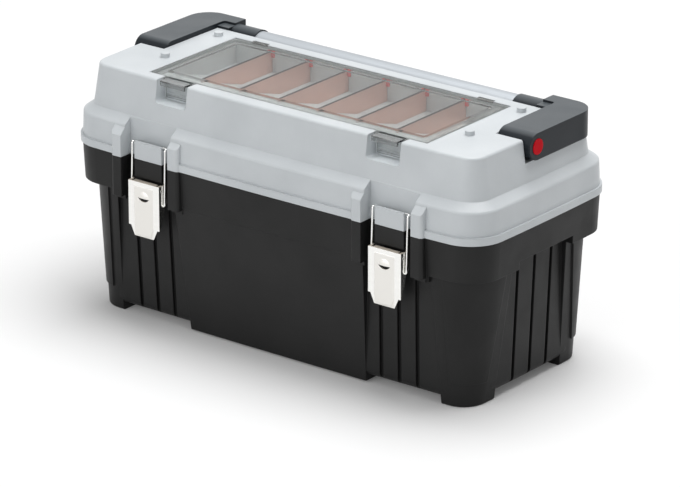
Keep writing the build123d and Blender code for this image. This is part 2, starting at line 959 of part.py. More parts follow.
with BuildPart() as arm_form:
    with BuildSketch(Plane.YZ.offset(arm_inner)):
        with Locations((pivot_y, pivot_z)):
            Circle(arm_radius)
            Rectangle(arm_rear - pivot_y, 2 * arm_radius, align=(Align.MIN, Align.CENTER))
    extrude(amount=arm_outer - arm_inner)
    # Lower layer round the end of the bar, and the upper layer that steps over it
    span_box(
        (arm_step, arm_outer),
        (bar_front - collar, arm_rear),
        (pivot_z - arm_radius, arm_top - arm_layer),
    )
    with BuildSketch(Plane.XY.offset(arm_top - arm_layer)) as layer:
        with BuildLine():
            Polyline(
                (arm_inner, bar_front - collar),
                (arm_inner, arm_band),
                (arm_step, arm_band),
                (arm_step, arm_rear),
                (arm_outer, arm_rear),
                (arm_outer, bar_front - collar),
                close=True,
            )
        make_face()
        fillet(layer.vertices().sort_by_distance((arm_inner, arm_band, 0))[0], arm_inner_round)
    extrude(amount=arm_layer)
    outer_edge = arm_form.edges().filter_by(Axis.Z).sort_by_distance((arm_outer, arm_rear, pivot_z))[0]
    fillet(outer_edge, arm_corner)
    with BuildSketch(Plane.YZ.offset(bar_end)):
        add(bar_outline.sketch_local)
        offset(amount=collar, mode=Mode.REPLACE)
    extrude(amount=arm_step - bar_end)
    with BuildSketch(Plane.YZ.offset(bar_end)):
        add(bar_outline.sketch_local)
        offset(amount=socket_gap, mode=Mode.REPLACE)
    extrude(amount=bar_insert, mode=Mode.SUBTRACT)
    # Hollow underside of the side leg
    span_box(
        (arm_inner + wall, arm_outer - wall),
        (pivot_y + arm_radius, bar_front - collar - wall),
        (pivot_z - arm_radius, arm_top - wall),
        mode=Mode.SUBTRACT,
    )
    rod(arm_inner, arm_outer, pivot_y, pivot_z, pivot_pin_radius + run_gap, mode=Mode.SUBTRACT)
    rod(
        arm_outer - pivot_head_height,
        arm_outer,
        pivot_y,
        pivot_z,
        pivot_head_radius + run_gap,
        mode=Mode.SUBTRACT,
    )

with BuildPart() as pivot_pin_form:
    rod(
        recess_side - pivot_grip + wall,
        arm_outer - pivot_head_height,
        pivot_y,
        pivot_z,
        pivot_pin_radius,
    )
    rod(arm_outer - pivot_head_height, arm_outer + pivot_head_proud, pivot_y, pivot_z, pivot_head_radius)

# Organiser: cover with its knuckles and lugs, pins, clips and dividers
with BuildPart() as cover:
    cover_middle = (cover_front + cover_rear) / 2
    cover_depth = cover_rear - cover_front
    with BuildSketch(Plane.XY.offset(rebate_floor)):
        with Locations((0, cover_middle)):
            RectangleRounded(2 * cover_half, cover_depth, cover_corner)
    extrude(amount=cover_sheet)
    with BuildSketch(Plane.XY.offset(cover_top)):
        with Locations((0, cover_middle)):
            RectangleRounded(2 * (cover_half - cover_border), cover_depth - 2 * cover_border, cover_corner)
    extrude(amount=cover_raise, taper=cover_bevel)
    with BuildSketch(Plane.XY.offset(rebate_floor)):
        with Locations((0, cover_middle)):
            RectangleRounded(
                2 * (cover_half - cover_border - cover_raise),
                cover_depth - 2 * (cover_border + cover_raise),
                cover_corner - cover_raise,
            )
    extrude(amount=cover_raise, mode=Mode.SUBTRACT)
    for side in (-1, 1):
        centre = side * cover_hinge_x
        half = cover_knuckle_length / 2
        rod(centre - half, centre + half, cover_axis_y, cover_axis_z, cover_knuckle_radius)
        span_box((centre - half, centre + half), (cover_rear, cover_axis_y), (rebate_floor, cover_top))
        pin_bore = cover_pin_radius + run_gap
        rod(centre - half, centre + half, cover_axis_y, cover_axis_z, pin_bore, mode=Mode.SUBTRACT)
        for hand in (-1, 1):
            lug_start = side * clip_x + hand * (clip_half + knuckle_gap)
            with BuildSketch(Plane.YZ.offset(lug_start)):
                with Locations((clip_axis_y, clip_axis_z)):
                    Circle(clip_barrel)
                with Locations((clip_axis_y, cover_top)):
                    Rectangle(cover_front - clip_axis_y, cover_sheet, align=(Align.MIN, Align.MAX))
            extrude(amount=hand * clip_lug)
            rod(
                lug_start,
                lug_start + hand * clip_lug,
                clip_axis_y,
                clip_axis_z,
                clip_pin_radius + run_gap,
                mode=Mode.SUBTRACT,
            )

with BuildPart() as cover_pin_form:
    pin_half = cover_knuckle_length / 2 + cover_pin_grip
    rod(-pin_half, pin_half, cover_axis_y, cover_axis_z, cover_pin_radius)

with BuildPart() as clip_form:
    leg_rear = -clip_pocket_back - catch_depth - knuckle_gap
    rod(-clip_half, clip_half, clip_axis_y, clip_axis_z, clip_barrel)
    pin_half = clip_half + knuckle_gap + clip_lug
    rod(-pin_half, pin_half, clip_axis_y, clip_axis_z, clip_pin_radius)
    span_box((-clip_half, clip_half), (-clip_reach, clip_axis_y), (cover_top - clip_sheet, cover_top))
    span_box(
        (-clip_half, clip_half),
        (-clip_reach, -clip_reach + clip_sheet),
        (cover_top - clip_grip, cover_top),
    )
    span_box((-clip_half, clip_half), (leg_rear - clip_sheet, leg_rear), (clip_leg_bottom, clip_axis_z))
    span_box(
        (-clip_half, clip_half),
        (leg_rear - clip_sheet, leg_rear + clip_hook),
        (clip_leg_bottom, catch_bottom - knuckle_gap),
    )

with BuildPart() as divider_form:
    with BuildSketch(Plane.YZ.offset(-divider_thickness / 2)):
        with BuildLine():
            Polyline(
                (well_rear + divider_slot - divider_gap, divider_top),
                (well_rear + divider_slot - divider_gap, well_floor),
                (slope_bottom_y, well_floor),
                (slope_top_y, well_shelf),
                (slope_top_y, divider_top),
                close=True,
            )
        make_face()
    extrude(amount=divider_thickness)


with BuildPart() as arm_left:
    mirror(arm_form.part, about=Plane.YZ)

with BuildPart() as pivot_pin_left:
    mirror(pivot_pin_form.part, about=Plane.YZ)


def write_piece(label, piece):
    """Label a finished piece and write it to its own file."""
    piece.label = label
    export_step(piece, f"parts/{label}.step")


def write_copy(label, form, x):
    """Write a copy of a form that is moved along X."""
    with BuildPart() as copy:
        with Locations((x, 0, 0)):
            add(form.part)
    write_piece(label, copy.part)


write_piece("tub", tub.part)
write_piece("lid_shell", lid_shell.part)
write_piece("latch_rivets", latch_rivets.part)
write_piece("handle_bar", handle_bar.part)
write_piece("organiser_cover", cover.part)
write_piece("handle_arm_right", arm_form.part)
write_piece("handle_arm_left", arm_left.part)
write_piece("handle_pivot_pin_right", pivot_pin_form.part)
write_piece("handle_pivot_pin_left", pivot_pin_left.part)
for hand_name, side in (("left", -1), ("right", 1)):
    write_copy(f"latch_base_{hand_name}", base_form, side * latch_x)
    write_copy(f"latch_lever_{hand_name}", lever_form, side * latch_x)
    write_copy(f"latch_pin_{hand_name}", lever_pin_form, side * latch_x)
    write_copy(f"latch_bail_{hand_name}", bail_form, side * latch_x)
    write_copy(f"hinge_pin_{hand_name}", hinge_pin_form, side * hinge_x)
    write_copy(f"cover_pin_{hand_name}", cover_pin_form, side * cover_hinge_x)
    write_copy(f"cover_clip_{hand_name}", clip_form, side * clip_x)
for index in range(divider_count):
    place = (index - (divider_count - 1) / 2) * divider_pitch
    write_copy(f"divider_{index + 1}", divider_form, place)
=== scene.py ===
"""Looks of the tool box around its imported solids: finishes, fine trim, studio and camera.

Metres, +Z up, +X to the right along the length, with the latches at the front (-Y).
"""

from __future__ import annotations

import logging
import math
from abc import ABC, abstractmethod
from dataclasses import dataclass, field
from enum import Enum

import bmesh
import bpy
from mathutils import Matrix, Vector

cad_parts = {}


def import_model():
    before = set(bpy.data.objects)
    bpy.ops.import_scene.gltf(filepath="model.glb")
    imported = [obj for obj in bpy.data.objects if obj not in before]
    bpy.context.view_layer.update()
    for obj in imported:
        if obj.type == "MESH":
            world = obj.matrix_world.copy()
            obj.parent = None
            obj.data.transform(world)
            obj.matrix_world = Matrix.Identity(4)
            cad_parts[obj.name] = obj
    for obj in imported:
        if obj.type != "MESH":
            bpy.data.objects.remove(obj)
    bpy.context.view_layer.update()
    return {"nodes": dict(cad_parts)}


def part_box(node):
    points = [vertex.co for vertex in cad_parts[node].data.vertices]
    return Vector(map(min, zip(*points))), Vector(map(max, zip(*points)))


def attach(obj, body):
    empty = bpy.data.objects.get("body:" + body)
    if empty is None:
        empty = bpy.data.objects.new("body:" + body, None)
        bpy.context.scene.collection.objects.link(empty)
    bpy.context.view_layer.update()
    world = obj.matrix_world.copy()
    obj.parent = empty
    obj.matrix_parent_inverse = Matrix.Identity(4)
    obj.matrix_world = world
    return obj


Colour = tuple[float, float, float]
Point = tuple[float, float, float]
Socket = bpy.types.NodeSocket

log = logging.getLogger("tool_box")

# Kinds of group sockets.
NUMBER = "NodeSocketFloat"
VECTOR = "NodeSocketVector"

# Where the two colours of a finish stand on its ramp.
DARK_SHARE = 0.25
LIGHT_SHARE = 0.75

# Rounding of the edges of made pieces.
BEVEL_STEPS = 3
BEVEL_PROFILE = 0.5


def grey(level: float) -> Colour:
    """Neutral colour of one level."""
    return (level, level, level)


def opaque(colour: Colour) -> tuple[float, float, float, float]:
    """Colour with full alpha, as shader sockets take it."""
    return (*colour, 1.0)


class Hand(Enum):
    """Side of the box, as seen from the latches."""

    LEFT = "left"
    RIGHT = "right"

    @classmethod
    def both(cls, piece: str) -> list[str]:
        """Names of a piece's nodes on both sides."""
        return [f"{piece}_{hand.value}" for hand in cls]


class Effect(Enum):
    """Shared surface effects, each a shader node group."""

    GRAIN = "moulded grain"
    MARKS = "handling marks"
    EDGES = "softened edges"
    STREAKS = "drawn streaks"


@dataclass
class NodePen:
    """Adds and joins the nodes of one tree."""

    tree: bpy.types.NodeTree

    def add(self, kind: str, **settings: object) -> bpy.types.Node:
        """Add a node.

        Args:
            kind: Blender's node type without its ShaderNode prefix.
            settings: Properties to set on the node.

        Returns:
            The new node.
        """
        node = self.tree.nodes.new("ShaderNode" + kind)
        for name, value in settings.items():
            setattr(node, name, value)
        return node

    def join(self, source: Socket, target: Socket) -> None:
        """Link one socket to another."""
        self.tree.links.new(source, target)

    def feed(self, value: Socket | float, target: Socket) -> None:
        """Link a socket to an input, or set a number on it.

        Args:
            value: Socket or number for the input.
            target: The input.
        """
        if isinstance(value, Socket):
            self.join(value, target)
        else:
            target.default_value = value

    def maths(self, operation: str, first: Socket | float, second: Socket | float = 0.0) -> Socket:
        """Add a Math node.

        Args:
            operation: Name of the operation.
            first: Socket or number for the first input.
            second: Socket or number for the second input, where the operation has one.

        Returns:
            The node's output.
        """
        node = self.add("Math", operation=operation)
        self.feed(first, node.inputs[0])
        self.feed(second, node.inputs[1])
        return node.outputs[0]

    def remap(
        self,
        value: Socket,
        low: Socket | float = 0.0,
        high: Socket | float = 1.0,
        start: float = 0.0,
        full: float = 1.0,
    ) -> Socket:
        """Spread a value between two limits.

        Args:
            value: The value to spread.
            low: Result where the value is at its start.
            high: Result where the value is full.
            start: Value that gives the low result.
            full: Value that gives the high result.

        Returns:
            The spread value.
        """
        node = self.add("MapRange")
        settings = {"Value": value, "From Min": start, "From Max": full, "To Min": low, "To Max": high}
        for name, setting in settings.items():
            self.feed(setting, node.inputs[name])
        return node.outputs["Result"]

    def tint(self, mask: Socket, base: Socket, colour: Colour) -> Socket:
        """Lay a colour over another where a mask is 1.

        Args:
            mask: Where the colour shows, 0 to 1.
            base: The colour underneath.
            colour: The colour to lay over it.

        Returns:
            The mixed colour.
        """
        node = self.add("Mix", data_type="RGBA")
        self.join(mask, node.inputs["Factor"])
        self.join(base, node.inputs["A"])
        node.inputs["B"].default_value = opaque(colour)
        return node.outputs["Result"]

    def place(self) -> Socket:
        """Point on the object, in metres."""
        return self.add("TexCoord").outputs["Object"]

    def noise(self, place: Socket, scale: Socket | float, detail: float) -> bpy.types.Node:
        """Add a noise texture.

        Args:
            place: Point at which the noise is read.
            scale: Socket or number for how fine it is.
            detail: How many finer layers it has.

        Returns:
            The texture's node.
        """
        node = self.add("TexNoise")
        self.join(place, node.inputs["Vector"])
        self.feed(scale, node.inputs["Scale"])
        node.inputs["Detail"].default_value = detail
        return node

    def axes(self, vector: Socket) -> bpy.types.NodeOutputs:
        """Split a vector into its parts along the axes.

        Args:
            vector: The vector to split.

        Returns:
            The parts, by the names of their axes.
        """
        node = self.add("SeparateXYZ")
        self.join(vector, node.inputs["Vector"])
        return node.outputs


@dataclass
class EffectGroups:
    """Builds each shared effect once and places it in materials."""

    grain_detail: float = 3.0
    grain_roughness: float = 0.6
    grain_in_mottle: float = 0.15
    mottle_scale: float = 14.0
    mottle_detail: float = 4.0
    smear_detail: float = 5.0
    smear_distortion: float = 0.7
    smear_start: float = 0.3
    smear_full: float = 0.7
    edge_samples: int = 6
    edge_start: float = 0.99
    edge_full: float = 0.80
    streak_detail: float = 4.0
    streak_stretch: Point = (0.02, 1.0, 1.0)
    built: dict[Effect, bpy.types.NodeTree] = field(default_factory=dict)

    def place(self, pen: NodePen, effect: Effect, **values: float) -> bpy.types.Node:
        """Place an effect in a material.

        Args:
            pen: Pen of the material's tree.
            effect: The effect to place.
            values: Values of the group's inputs, by name.

        Returns:
            The group node.
        """
        node = pen.add("Group")
        node.node_tree = self._group(effect)
        for name, value in values.items():
            node.inputs[name].default_value = value
        return node

    def _group(self, effect: Effect) -> bpy.types.NodeTree:
        """Give an effect's group, building it on first use.

        Args:
            effect: The effect that the group makes.

        Returns:
            The group.
        """
        if effect not in self.built:
            makers = {
                Effect.GRAIN: self._grain,
                Effect.MARKS: self._marks,
                Effect.EDGES: self._edges,
                Effect.STREAKS: self._streaks,
            }
            self.built[effect] = makers[effect]()
        return self.built[effect]

    @staticmethod
    def _open(
        effect: Effect, inputs: tuple[str, ...], outputs: dict[str, str]
    ) -> tuple[NodePen, bpy.types.Node, bpy.types.Node]:
        """Start a group with named sockets.

        Args:
            effect: The effect that the group makes.
            inputs: Names of its number inputs.
            outputs: Names of its outputs with their kinds.

        Returns:
            The group's pen, its input node and its output node.
        """
        tree = bpy.data.node_groups.new(effect.value, "ShaderNodeTree")
        for name in inputs:
            tree.interface.new_socket(name, in_out="INPUT", socket_type=NUMBER)
        for name, kind in outputs.items():
            tree.interface.new_socket(name, in_out="OUTPUT", socket_type=kind)
        entry = tree.nodes.new("NodeGroupInput")
        end = tree.nodes.new("NodeGroupOutput")
        return NodePen(tree), entry, end

    def _grain(self) -> bpy.types.NodeTree:
        """Make a spark-eroded mould grain: fine height and broad mottling.

        Returns:
            The group.
        """
        pen, entry, end = self._open(Effect.GRAIN, ("Density",), {"Height": NUMBER, "Mottle": NUMBER})
        place = pen.place()
        fine = pen.noise(place, entry.outputs["Density"], self.grain_detail)
        fine.inputs["Roughness"].default_value = self.grain_roughness
        broad = pen.noise(place, self.mottle_scale, self.mottle_detail)
        speckle = pen.remap(fine.outputs["Fac"], -self.grain_in_mottle, self.grain_in_mottle)
        pen.join(fine.outputs["Fac"], end.inputs["Height"])
        pen.join(pen.maths("ADD", broad.outputs["Fac"], speckle), end.inputs["Mottle"])
        return pen.tree

    def _marks(self) -> bpy.types.NodeTree:
        """Make smears and light dust from handling, as a change of gloss.

        Returns:
            The group.
        """
        pen, entry, end = self._open(Effect.MARKS, ("Density", "Low", "High"), {"Shift": NUMBER})
        smear = pen.noise(pen.place(), entry.outputs["Density"], self.smear_detail)
        smear.inputs["Distortion"].default_value = self.smear_distortion
        shift = pen.remap(
            smear.outputs["Fac"],
            entry.outputs["Low"],
            entry.outputs["High"],
            self.smear_start,
            self.smear_full,
        )
        pen.join(shift, end.inputs["Shift"])
        return pen.tree

    def _edges(self) -> bpy.types.NodeTree:
        """Make rounded edges, and a mask of where they are.

        Returns:
            The group.
        """
        pen, entry, end = self._open(Effect.EDGES, ("Radius",), {"Normal": VECTOR, "Edge": NUMBER})
        soft = pen.add("Bevel", samples=self.edge_samples)
        pen.join(entry.outputs["Radius"], soft.inputs["Radius"])
        flat = pen.add("NewGeometry")
        turn = pen.add("VectorMath", operation="DOT_PRODUCT")
        pen.join(soft.outputs["Normal"], turn.inputs[0])
        pen.join(flat.outputs["Normal"], turn.inputs[1])
        mask = pen.remap(turn.outputs["Value"], start=self.edge_start, full=self.edge_full)
        pen.join(soft.outputs["Normal"], end.inputs["Normal"])
        pen.join(mask, end.inputs["Edge"])
        return pen.tree

    def _streaks(self) -> bpy.types.NodeTree:
        """Make fine lines along X, as left by drawing, rolling or extrusion.

        Returns:
            The group.
        """
        pen, entry, end = self._open(Effect.STREAKS, ("Density",), {"Line": NUMBER})
        stretch = pen.add("Mapping")
        stretch.inputs["Scale"].default_value = self.streak_stretch
        pen.join(pen.place(), stretch.inputs["Vector"])
        lines = pen.noise(stretch.outputs["Vector"], entry.outputs["Density"], self.streak_detail)
        pen.join(lines.outputs["Fac"], end.inputs["Line"])
        return pen.tree


@dataclass(frozen=True)
class Upward:
    """Which surfaces count as facing up, by the upward part of their normal."""

    start: float
    full: float

    def mask(self, pen: NodePen) -> Socket:
        """Mask of the surfaces that face up, 0 to 1."""
        normal = pen.add("TexCoord").outputs["Normal"]
        return pen.remap(pen.axes(normal)["Z"], start=self.start, full=self.full)


@dataclass(frozen=True)
class Smears:
    """How finely, and how far down and up, handling changes the gloss."""

    density: float
    low: float
    high: float

    def gloss(self, pen: NodePen, effects: EffectGroups, roughness: float) -> Socket:
        """Change a roughness by the smears.

        Args:
            pen: Pen of the material's tree.
            effects: The shared effects.
            roughness: Roughness of the clean surface.

        Returns:
            The changed roughness.
        """
        marks = effects.place(pen, Effect.MARKS, Density=self.density, Low=self.low, High=self.high)
        return pen.maths("ADD", marks.outputs["Shift"], roughness)


@dataclass(frozen=True)
class Finish(ABC):
    """What every finish has: a name, the two colours that it wanders between and a roughness."""

    name: str
    dark: Colour
    light: Colour
    roughness: float

    @abstractmethod
    def make(self, effects: EffectGroups) -> bpy.types.Material:
        """Build the material, each kind of finish in its own way.

        Args:
            effects: The shared effects.

        Returns:
            The material.
        """

    def start(self) -> tuple[bpy.types.Material, NodePen, bpy.types.Node]:
        """Start the material.

        Returns:
            The material, its pen and its Principled shader.
        """
        material = bpy.data.materials.new(self.name)
        material.use_nodes = True
        material.diffuse_color = opaque(self.light)
        shader = next(n for n in material.node_tree.nodes if n.type == "BSDF_PRINCIPLED")
        return material, NodePen(material.node_tree), shader

    def paint(self, pen: NodePen, share: Socket, rim: Colour | None = None) -> Socket:
        """Blend the two colours.

        Args:
            pen: Pen of the material's tree.
            share: How light the surface is at a point, 0 to 1.
            rim: Colour for a share of 0, where the finish has a third one.

        Returns:
            The blended colour.
        """
        blend = pen.add("ValToRGB")
        stops = blend.color_ramp.elements
        stops[0].position = DARK_SHARE
        stops[0].color = opaque(self.dark)
        stops[1].position = LIGHT_SHARE
        stops[1].color = opaque(self.light)
        if rim is not None:
            stops.new(0.0).color = opaque(rim)
        pen.join(share, blend.inputs["Fac"])
        return blend.outputs["Color"]

    @staticmethod
    def emboss(pen: NodePen, height: Socket, normal: Socket, depth: float, relief: float) -> Socket:
        """Lay a fine relief on a normal.

        Args:
            pen: Pen of the material's tree.
            height: Height of the relief, 0 to 1.
            normal: Normal that it is laid on.
            depth: Strength of the relief.
            relief: Height in metres that 1 stands for.

        Returns:
            The normal with the relief in it.
        """
        bump = pen.add("Bump")
        bump.inputs["Strength"].default_value = depth
        bump.inputs["Distance"].default_value = relief
        pen.join(height, bump.inputs["Height"])
        pen.join(normal, bump.inputs["Normal"])
        return bump.outputs["Normal"]


@dataclass(frozen=True)
class MouldedPlastic(Finish):
    """Opaque moulded plastic with a mould grain, soft edges with a painted highlight along them and, where
    it has one, a painted top light: upward faces made lighter as a stand-in for the light falling on them.
    """

    grain: float = 1400.0
    depth: float = 0.10
    relief: float = 0.0004
    edge: float = 0.0012
    # Painted highlight: share by which edges are made lighter, standing in for the light that rounded edges
    # catch.
    edge_highlight: float = 0.24
    specular: float = 0.5
    smears: Smears = Smears(density=22.0, low=-0.05, high=0.08)
    # Painted top light: lighter colour for upward faces, standing in for the light that falls on the top.
    painted_top_light: Colour | None = None
    facing: Upward = Upward(start=0.80, full=1.0)

    def make(self, effects: EffectGroups) -> bpy.types.Material:
        """Build the material.

        Args:
            effects: The shared effects.

        Returns:
            The material.
        """
        material, pen, shader = self.start()
        grain = effects.place(pen, Effect.GRAIN, Density=self.grain)
        edges = effects.place(pen, Effect.EDGES, Radius=self.edge)
        # Painted highlight: lighten the colour along edges, where rounded edges would catch light.
        lift = pen.maths("MULTIPLY", edges.outputs["Edge"], self.edge_highlight)
        colour = self.paint(pen, pen.maths("ADD", grain.outputs["Mottle"], lift))
        # Painted top light: upward faces take a lighter colour where light falls on the top.
        if self.painted_top_light is not None:
            colour = pen.tint(self.facing.mask(pen), colour, self.painted_top_light)
        normal = self.emboss(
            pen, grain.outputs["Height"], edges.outputs["Normal"], self.depth, self.relief
        )
        pen.join(colour, shader.inputs["Base Color"])
        pen.join(self.smears.gloss(pen, effects, self.roughness), shader.inputs["Roughness"])
        pen.join(normal, shader.inputs["Normal"])
        shader.inputs["Specular IOR Level"].default_value = self.specular
        return material


@dataclass(frozen=True)
class SatinPanel:
    """Satin middle of a bright plate, painted darker as a stand-in for the darker reflection it shows, and
    its dull upper flange, with painted shade on upward faces, the same on both sides of the box.
    """

    centre_x: float
    half_width: float
    top: float
    # Painted reflection: the panel's darker cream colour stands in for the darker surroundings it reflects;
    # its extra roughness is a real satin finish.
    colour: Colour = (0.76, 0.745, 0.71)
    roughness: float = 0.12
    soft: float = 0.0004
    # Painted shade: upward faces of the plate take this darker colour; their extra roughness is real.
    flange_shade_colour: Colour = (0.62, 0.565, 0.495)
    flange_roughness: float = 0.45
    flange_facing: Upward = Upward(start=0.80, full=0.95)

    def soften(self, pen: NodePen, colour: Socket, gloss: Socket) -> tuple[Socket, Socket]:
        """Change a bright plate's colour and gloss inside the panel and on its flange, painting a darker
        reflection into the panel and shade onto upward faces.

        Args:
            pen: Pen of the material's tree.
            colour: The plate's colour.
            gloss: The plate's roughness.

        Returns:
            The colour and the roughness with the panel and the flange in them.
        """
        # Painted reflection in the panel and painted shade on upward faces go into the colour; the
        # roughness changes are real.
        layers = (
            (self._mask(pen), self.colour, self.roughness),
            (self.flange_facing.mask(pen), self.flange_shade_colour, self.flange_roughness),
        )
        for mask, layer_colour, layer_roughness in layers:
            colour = pen.tint(mask, colour, layer_colour)
            gloss = pen.maths("ADD", gloss, pen.maths("MULTIPLY", mask, layer_roughness))
        return colour, gloss

    def _mask(self, pen: NodePen) -> Socket:
        """Mask the panel.

        Args:
            pen: Pen of the material's tree.

        Returns:
            The mask: 1 inside the panel and 0 outside.
        """
        axes = pen.axes(pen.place())
        outward = pen.maths("ABSOLUTE", axes["X"])
        aside = pen.maths("ABSOLUTE", pen.maths("SUBTRACT", outward, self.centre_x))
        across = self._below(pen, aside, self.half_width)
        under = self._below(pen, axes["Z"], self.top)
        return pen.maths("MULTIPLY", across, under)

    def _below(self, pen: NodePen, value: Socket, limit: float) -> Socket:
        """Mask of where a value is under a limit, with a soft edge."""
        return pen.remap(value, start=limit + self.soft, full=limit - self.soft)


@dataclass(frozen=True)
class DrawnMetal(Finish):
    """Plated, drawn or extruded metal with fine lines and smears."""

    lines: float = 900.0
    depth: float = 0.05
    relief: float = 0.0002
    edge: float = 0.0005
    smears: Smears = Smears(density=60.0, low=-0.03, high=0.06)
    panel: SatinPanel | None = None

    def make(self, effects: EffectGroups) -> bpy.types.Material:
        """Build the material.

        Args:
            effects: The shared effects.

        Returns:
            The material.
        """
        material, pen, shader = self.start()
        line = effects.place(pen, Effect.STREAKS, Density=self.lines).outputs["Line"]
        edges = effects.place(pen, Effect.EDGES, Radius=self.edge)
        colour = self.paint(pen, line)
        gloss = self.smears.gloss(pen, effects, self.roughness)
        if self.panel is not None:
            colour, gloss = self.panel.soften(pen, colour, gloss)
        normal = self.emboss(pen, line, edges.outputs["Normal"], self.depth, self.relief)
        pen.join(colour, shader.inputs["Base Color"])
        pen.join(gloss, shader.inputs["Roughness"])
        pen.join(normal, shader.inputs["Normal"])
        shader.inputs["Metallic"].default_value = 1.0
        return material


@dataclass(frozen=True)
class ClearPlastic(Finish):
    """See-through tinted plastic that lets light through to what lies behind it."""

    clearness: float = 1.0
    shade: Colour = grey(0.8)
    index: float = 1.49
    coat: float = 0.0
    grain: float = 300.0
    smears: Smears = Smears(density=30.0, low=-0.01, high=0.03)
    top_edge: Colour | None = None
    facing: Upward = Upward(start=0.6, full=0.8)

    def make(self, effects: EffectGroups) -> bpy.types.Material:
        """Build the material.

        Args:
            effects: The shared effects.

        Returns:
            The material.
        """
        material, pen, shader = self.start()
        share = effects.place(pen, Effect.GRAIN, Density=self.grain).outputs["Mottle"]
        if self.top_edge is not None:
            share = pen.maths("SUBTRACT", share, self.facing.mask(pen))
        pen.join(self.paint(pen, share, self.top_edge), shader.inputs["Base Color"])
        pen.join(self.smears.gloss(pen, effects, self.roughness), shader.inputs["Roughness"])
        shader.inputs["Transmission Weight"].default_value = self.clearness
        shader.inputs["IOR"].default_value = self.index
        shader.inputs["Coat Weight"].default_value = self.coat
        self._pass_light(pen, shader)
        return material

    def _pass_light(self, pen: NodePen, shader: bpy.types.Node) -> None:
        """Let tinted light through to what lies behind.

        Args:
            pen: Pen of the material's tree.
            shader: The shader that everything but shadows sees.
        """
        path = pen.add("LightPath")
        through = pen.add("BsdfTransparent")
        through.inputs["Color"].default_value = opaque(self.shade)
        switch = pen.add("MixShader")
        output = next(n for n in pen.tree.nodes if n.type == "OUTPUT_MATERIAL")
        pen.join(path.outputs["Is Shadow Ray"], switch.inputs["Fac"])
        pen.join(shader.outputs["BSDF"], switch.inputs[1])
        pen.join(through.outputs["BSDF"], switch.inputs[2])
        pen.join(switch.outputs["Shader"], output.inputs["Surface"])


def pin_steel(name: str) -> DrawnMetal:
    """Finish of plain steel pins."""
    return DrawnMetal(name, grey(0.42), grey(0.60), roughness=0.30)


@dataclass
class Assembly:
    """What every sub-assembly has: the frame's nodes and the shared effects."""

    nodes: dict[str, bpy.types.Object]
    effects: EffectGroups

    def dress(self, finish: Finish, *names: str) -> None:
        """Give CAD nodes a finish.

        Args:
            finish: The finish to make.
            names: Names of the nodes that take it.
        """
        material = finish.make(self.effects)
        for name in names:
            slots = self.nodes[name].data.materials
            slots.clear()
            slots.append(material)
            log.info("dressed %s in %s", name, finish.name)

    @staticmethod
    def rounded_bar(name: str, low: Point, high: Point, rounding: float) -> bpy.types.Object:
        """Make a bar with rounded edges between two corners.

        Args:
            name: Name of the piece.
            low: Its lowest corner.
            high: Its highest corner.
            rounding: Radius of its edges.

        Returns:
            The piece, linked to the scene.
        """
        shape = bmesh.new()
        bmesh.ops.create_cube(shape, size=1.0)
        for corner in shape.verts:
            corner.co = Vector(high[i] if corner.co[i] > 0 else low[i] for i in range(3))
        bmesh.ops.bevel(
            shape,
            geom=shape.edges[:],
            offset=rounding,
            segments=BEVEL_STEPS,
            profile=BEVEL_PROFILE,
            affect="EDGES",
        )
        mesh = bpy.data.meshes.new(name)
        shape.to_mesh(mesh)
        shape.free()
        piece = bpy.data.objects.new(name, mesh)
        bpy.context.scene.collection.objects.link(piece)
        log.info("made %s", name)
        return piece


@dataclass
class Tub(Assembly):
    """Black tub with its hinge pins."""

    plastic: MouldedPlastic = MouldedPlastic(
        "black_polypropylene", grey(0.008), grey(0.014), roughness=0.46, grain=1700.0, specular=0.22
    )
    steel: DrawnMetal = pin_steel("hinge_steel")

    def build(self) -> None:
        """Dress the tub and the pins of its hinges."""
        self.dress(self.plastic, "tub")
        self.dress(self.steel, *Hand.both("hinge_pin"))


@dataclass
class Latches(Assembly):
    """Both draw latches."""

    plate: DrawnMetal = DrawnMetal(
        "bright_nickel",
        (0.84, 0.835, 0.81),
        (0.90, 0.895, 0.87),
        roughness=0.20,
        depth=0.01,
        # The panel paints a darker reflection into the lever's middle and shade onto upward faces.
        panel=SatinPanel(centre_x=0.160, half_width=0.0128, top=0.1600),
    )
    wire: DrawnMetal = DrawnMetal(
        "nickel_wire", (0.86, 0.855, 0.835), (0.95, 0.945, 0.925), roughness=0.14
    )

    def build(self) -> None:
        """Dress the levers, brackets, rivets, pins and wires."""
        pressed = [name for piece in ("lever", "base", "pin") for name in Hand.both(f"latch_{piece}")]
        self.dress(self.plate, "latch_rivets", *pressed)
        self.dress(self.wire, *Hand.both("latch_bail"))


@dataclass
class Lid(Assembly):
    """Light grey lid."""

    plastic: MouldedPlastic = MouldedPlastic(
        "grey_polypropylene", (0.50, 0.53, 0.55), (0.58, 0.61, 0.63), roughness=0.40, depth=0.06
    )

    def build(self) -> None:
        """Dress the lid's shell."""
        self.dress(self.plastic, "lid_shell")


@dataclass
class Handle(Assembly):
    """Folding handle: arms, bar and pivots."""

    plastic: MouldedPlastic = MouldedPlastic(
        "dark_grey_plastic",
        (0.009, 0.0120, 0.0155),
        (0.015, 0.0190, 0.0240),
        roughness=0.34,
        specular=0.18,
        # Painted top light on the arms' upward faces.
        painted_top_light=(0.072, 0.082, 0.090),
    )
    bar: DrawnMetal = DrawnMetal(
        "satin_aluminium", (0.34, 0.360, 0.380), (0.40, 0.424, 0.448), roughness=0.56
    )
    cap: MouldedPlastic = MouldedPlastic(
        "red_cap",
        (0.50, 0.002, 0.008),
        (0.58, 0.003, 0.012),
        roughness=0.40,
        depth=0.02,
        edge_highlight=0.10,
        specular=0.05,
    )

    def build(self) -> None:
        """Dress the arms, the bar and the red pivots."""
        self.dress(self.plastic, *Hand.both("handle_arm"))
        self.dress(self.bar, "handle_bar")
        self.dress(self.cap, *Hand.both("handle_pivot_pin"))


